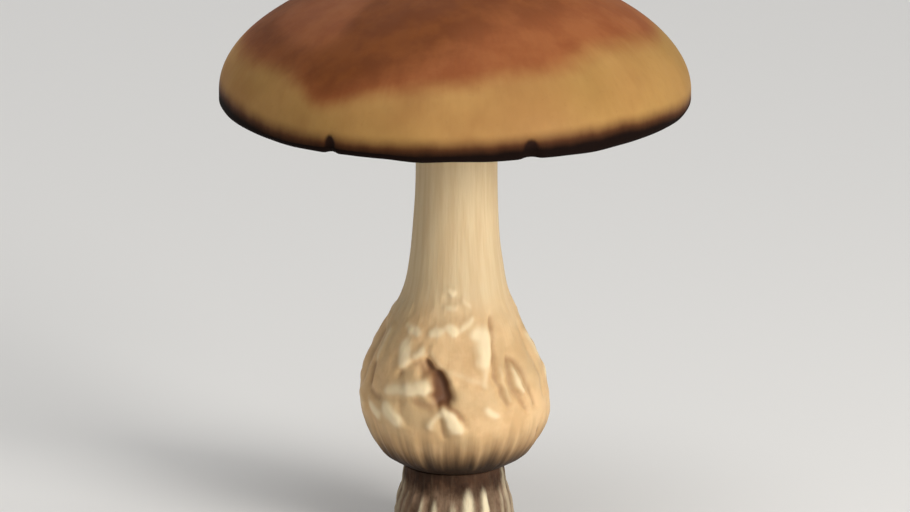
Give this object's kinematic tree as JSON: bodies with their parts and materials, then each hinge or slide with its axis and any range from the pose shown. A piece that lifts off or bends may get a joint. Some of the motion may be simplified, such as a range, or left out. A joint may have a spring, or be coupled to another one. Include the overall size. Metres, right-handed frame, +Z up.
{
  "type": "gilled mushroom with a domed cap and a bulbous stem",
  "caption": "Picked wild mushroom with a domed brown and ochre cap, dark gills, and a cream stem with a lumpy bulb on a flared foot cut off flat.",
  "frame": {"origin": "middle of the flat cut at the ground, which the mushroom stands on", "axes": "+Z up along the stem to the top of the cap; -Y towards the side of the bulb with the deep hollow; +X to the right of that side"},
  "size_m": [0.0998, 0.1002, 0.125],
  "materials": {
    "cap_skin": "satin moist skin, brown over an ochre margin with a nearly black edge",
    "gill_blades": "matt dark violet-brown blades",
    "stem_flesh": "satin cream flesh with fine fibres along it and tan scars on the bulb",
    "foot_strands": "dull brown crust with pale root-like strands"
  },
  "bodies": {
    "root": {"cap": "cap_skin", "gills": "gill_blades", "stem": "stem_flesh", "foot": "foot_strands"}
  },
  "joints": []
}
